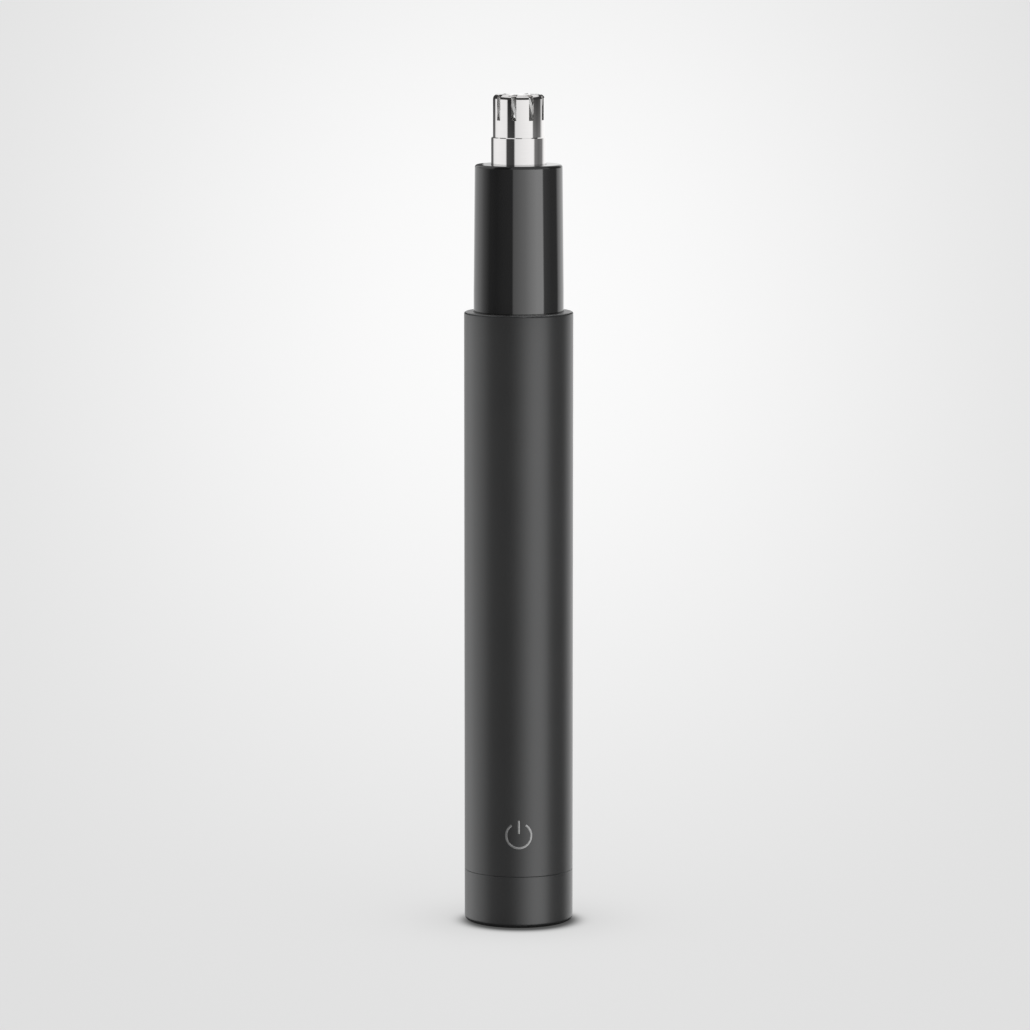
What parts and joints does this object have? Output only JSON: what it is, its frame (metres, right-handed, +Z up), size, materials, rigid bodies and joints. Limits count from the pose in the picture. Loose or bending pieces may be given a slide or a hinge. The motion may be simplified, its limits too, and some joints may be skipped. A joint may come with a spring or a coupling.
{
  "type": "nose hair trimmer",
  "caption": "Slim round battery nose hair trimmer: slotted steel head with spinning cutter, glossy tapered neck, satin metal tube and twist-and-pull end cap.",
  "frame": {"origin": "centre of the end cap's foot, on the surface that the trimmer stands on", "axes": "+Z up the long axis to the slotted head; -Y is the front, the side seen in use as the face; +X to the viewer's right"},
  "size_m": [0.0168, 0.0168, 0.1282],
  "materials": {
    "anodised_tube": "satin dark grey anodised",
    "gloss_neck": "polished black",
    "polished_steel": "polished",
    "cutter_steel": "ground",
    "shaft_steel": "ground",
    "spring_steel": "drawn wire",
    "black_rubber": "matt",
    "grey_rubber": "matt",
    "chassis_plastic": "fine spark texture",
    "white_plastic": "satin",
    "insert_metal": "turned, nickel plated",
    "contact_metal": "nickel plated",
    "brush_metal": "bright",
    "copper_wire": "enamelled",
    "bronze_bush": "sintered",
    "motor_steel": "zinc plated",
    "magnet_ferrite": "ground",
    "core_steel": "stamped sheets",
    "screw_steel": "zinc plated",
    "cell_jacket": "printed film"
  },
  "bodies": {
    "body": {"outer_tube": "anodised_tube", "neck_cover": "gloss_neck", "neck_o_ring": "black_rubber", "head_o_ring": "black_rubber", "shaft_bush": "bronze_bush", "shaft_seal": "grey_rubber", "chassis_front": "chassis_plastic", "chassis_rear": "chassis_plastic", "chassis_screws": "screw_steel", "contact_plate": "white_plastic", "positive_contact": "contact_metal", "negative_contact": "contact_metal", "motor_can": "motor_steel", "motor_end_bell": "white_plastic", "motor_brushes": "brush_metal", "motor_magnets": "magnet_ferrite", "motor_bushes": "bronze_bush", "motor_damper": "grey_rubber"},
    "rotor": {"motor_shaft": "shaft_steel", "commutator": "copper_wire", "armature_core": "core_steel", "armature_windings": "copper_wire", "drive_coupling": "white_plastic", "drive_shaft": "shaft_steel", "cutter_spring": "spring_steel"},
    "cutter": {"cutter_hub": "white_plastic", "cutter_blades": "cutter_steel"},
    "head": {"foil": "polished_steel", "head_collar": "polished_steel"},
    "switch": {"switch_ring": "white_plastic", "switch_contact": "contact_metal"},
    "cap": {"end_cap": "anodised_tube", "cap_insert": "insert_metal", "cap_contact": "contact_metal", "battery_spring": "spring_steel", "cap_o_ring": "black_rubber"},
    "cell": {"battery": "cell_jacket"}
  },
  "joints": [
    {"name": "tube_pull", "type": "slide", "parent": "cap", "child": "switch", "axis": [0, 0, 1], "range_m": [0, 0.07]},
    {"name": "switch_twist", "type": "hinge", "parent": "switch", "child": "body", "pos_m": [0, 0, 0.01], "axis": [0, 0, 1], "range_deg": [0, 45]},
    {"name": "cell_rise", "type": "slide", "parent": "cap", "child": "cell", "axis": [0, 0, 1], "range_m": [0, 0.004], "deforming": ["battery_spring"]},
    {"name": "rotor_spin", "type": "hinge", "parent": "body", "child": "rotor", "pos_m": [0, 0, 0.08], "axis": [0, 0, 1], "continuous": true},
    {"name": "cutter_float", "type": "slide", "parent": "rotor", "child": "cutter", "axis": [0, 0, 1], "range_m": [-0.0006, 0], "stiffness_N_per_m": 150, "springref_m": 0.004, "deforming": ["cutter_spring"]},
    {"name": "head_pull", "type": "slide", "parent": "body", "child": "head", "axis": [0, 0, 1], "range_m": [0, 0.022]}
  ],
  "couplings": [
    {"joint": "cell_rise", "follows": "tube_pull", "ratio": 0.05}
  ]
}
